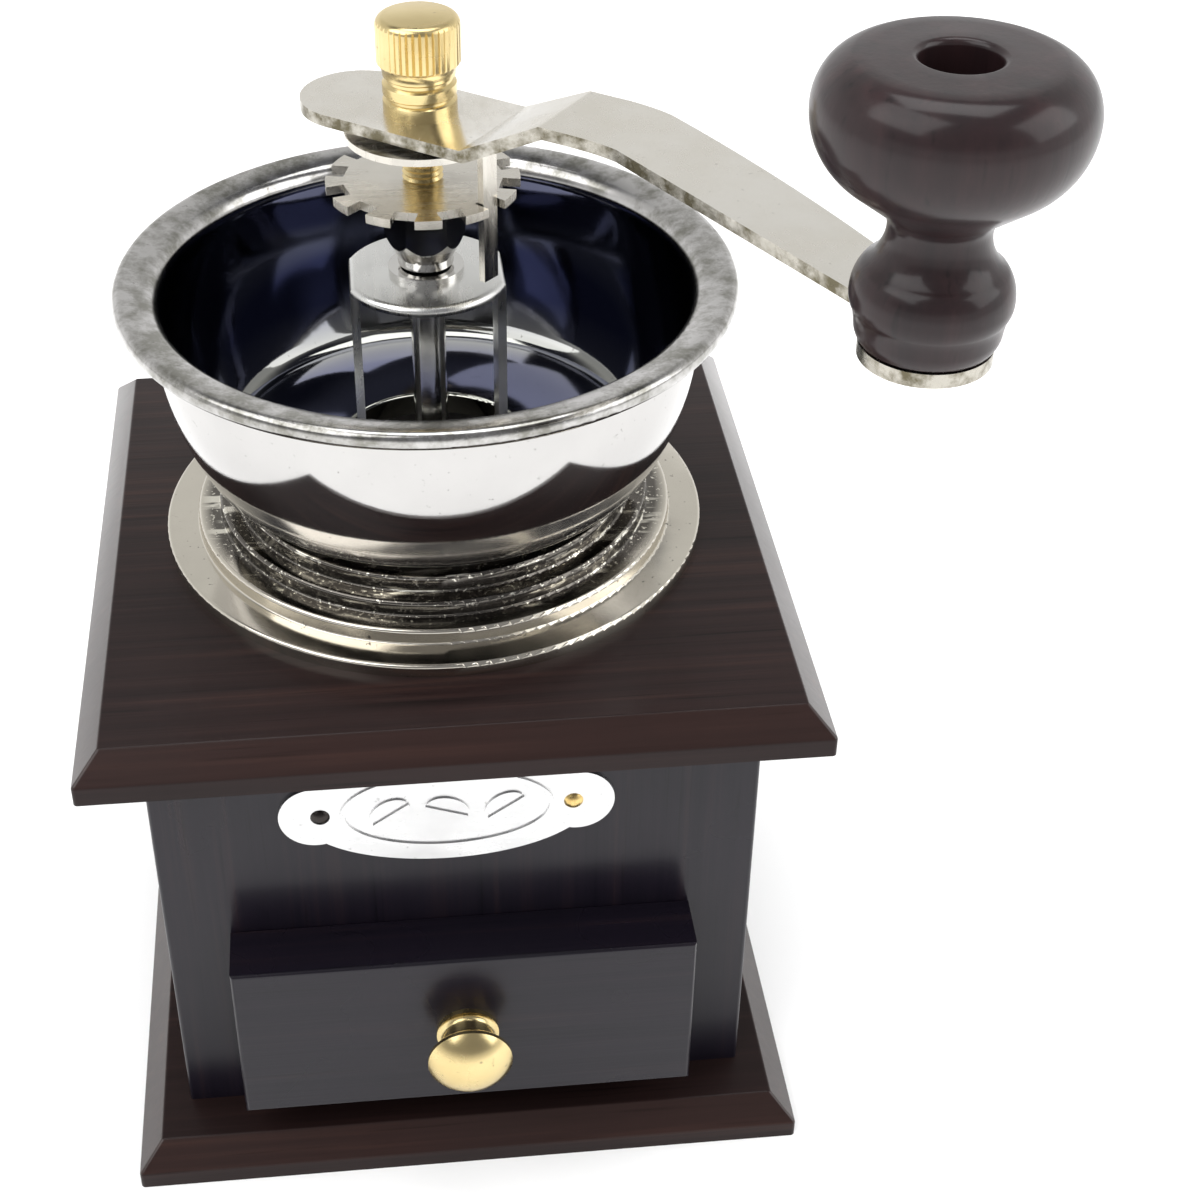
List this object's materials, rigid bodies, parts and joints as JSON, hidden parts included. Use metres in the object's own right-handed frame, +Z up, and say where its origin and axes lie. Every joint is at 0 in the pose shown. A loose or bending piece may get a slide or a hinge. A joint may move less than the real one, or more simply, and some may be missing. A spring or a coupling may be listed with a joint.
{
  "type": "hand crank coffee grinder",
  "caption": "Wooden box coffee mill with a metal hopper, a crank with a turned wooden knob and a drawer for the ground coffee.",
  "frame": {"origin": "centre of the base board's underside", "axes": "+Z up; -Y is the drawer side; +X to the right of someone facing the drawer"},
  "size_m": [0.1401, 0.1688, 0.2292],
  "materials": {
    "case_wood": "semi-gloss",
    "inner_wood": "matte",
    "handle_wood": "semi-gloss",
    "bowl_chrome": "polished",
    "pedestal_chrome": "polished",
    "shaft_steel": "polished",
    "lock_steel": "satin",
    "bridge_steel": "satin",
    "crank_nickel": "satin",
    "plate_steel": "satin",
    "brass": "polished",
    "screw_steel": "satin",
    "burr_iron": "matte"
  },
  "bodies": {
    "case": {"base_board": "case_wood", "top_board": "case_wood", "front_panel": "case_wood", "back_panel": "case_wood", "left_panel": "case_wood", "right_panel": "case_wood", "drawer_runner_left": "inner_wood", "drawer_runner_right": "inner_wood", "base_screws": "screw_steel", "top_dowels": "inner_wood", "nameplate": "plate_steel", "nameplate_nails": "screw_steel", "pedestal_ring": "pedestal_chrome", "hopper_bowl": "bowl_chrome", "outer_burr": "burr_iron", "bearing_bar": "screw_steel", "bar_screws": "screw_steel", "mill_screws": "screw_steel", "bridge": "bridge_steel", "bridge_screws": "screw_steel", "bridge_bush": "shaft_steel"},
    "spindle": {"crank_shaft": "shaft_steel", "inner_burr": "burr_iron", "burr_spring": "screw_steel", "spring_washer": "screw_steel", "adjusting_nut": "shaft_steel", "adjusting_wheel": "lock_steel", "thread_sleeve": "brass", "lock_plate": "lock_steel", "crank_washer": "lock_steel", "crank_arm": "crank_nickel", "cap_nut": "brass", "handle_pin": "screw_steel"},
    "handle": {"handle_knob": "handle_wood"},
    "drawer": {"drawer_front": "case_wood", "drawer_left_side": "inner_wood", "drawer_right_side": "inner_wood", "drawer_back": "inner_wood", "drawer_bottom": "inner_wood", "drawer_knob": "brass", "drawer_knob_screw": "screw_steel"}
  },
  "joints": [
    {"name": "crank_turn", "type": "hinge", "parent": "case", "child": "spindle", "pos_m": [0, 0.004, 0], "axis": [0, 0, 1], "continuous": true},
    {"name": "handle_spin", "type": "hinge", "parent": "spindle", "child": "handle", "pos_m": [0.06025, -0.08886, 0.2], "axis": [0, 0, 1], "continuous": true},
    {"name": "drawer_slide", "type": "slide", "parent": "case", "child": "drawer", "axis": [0, -1, 0], "range_m": [0, 0.08]}
  ]
}
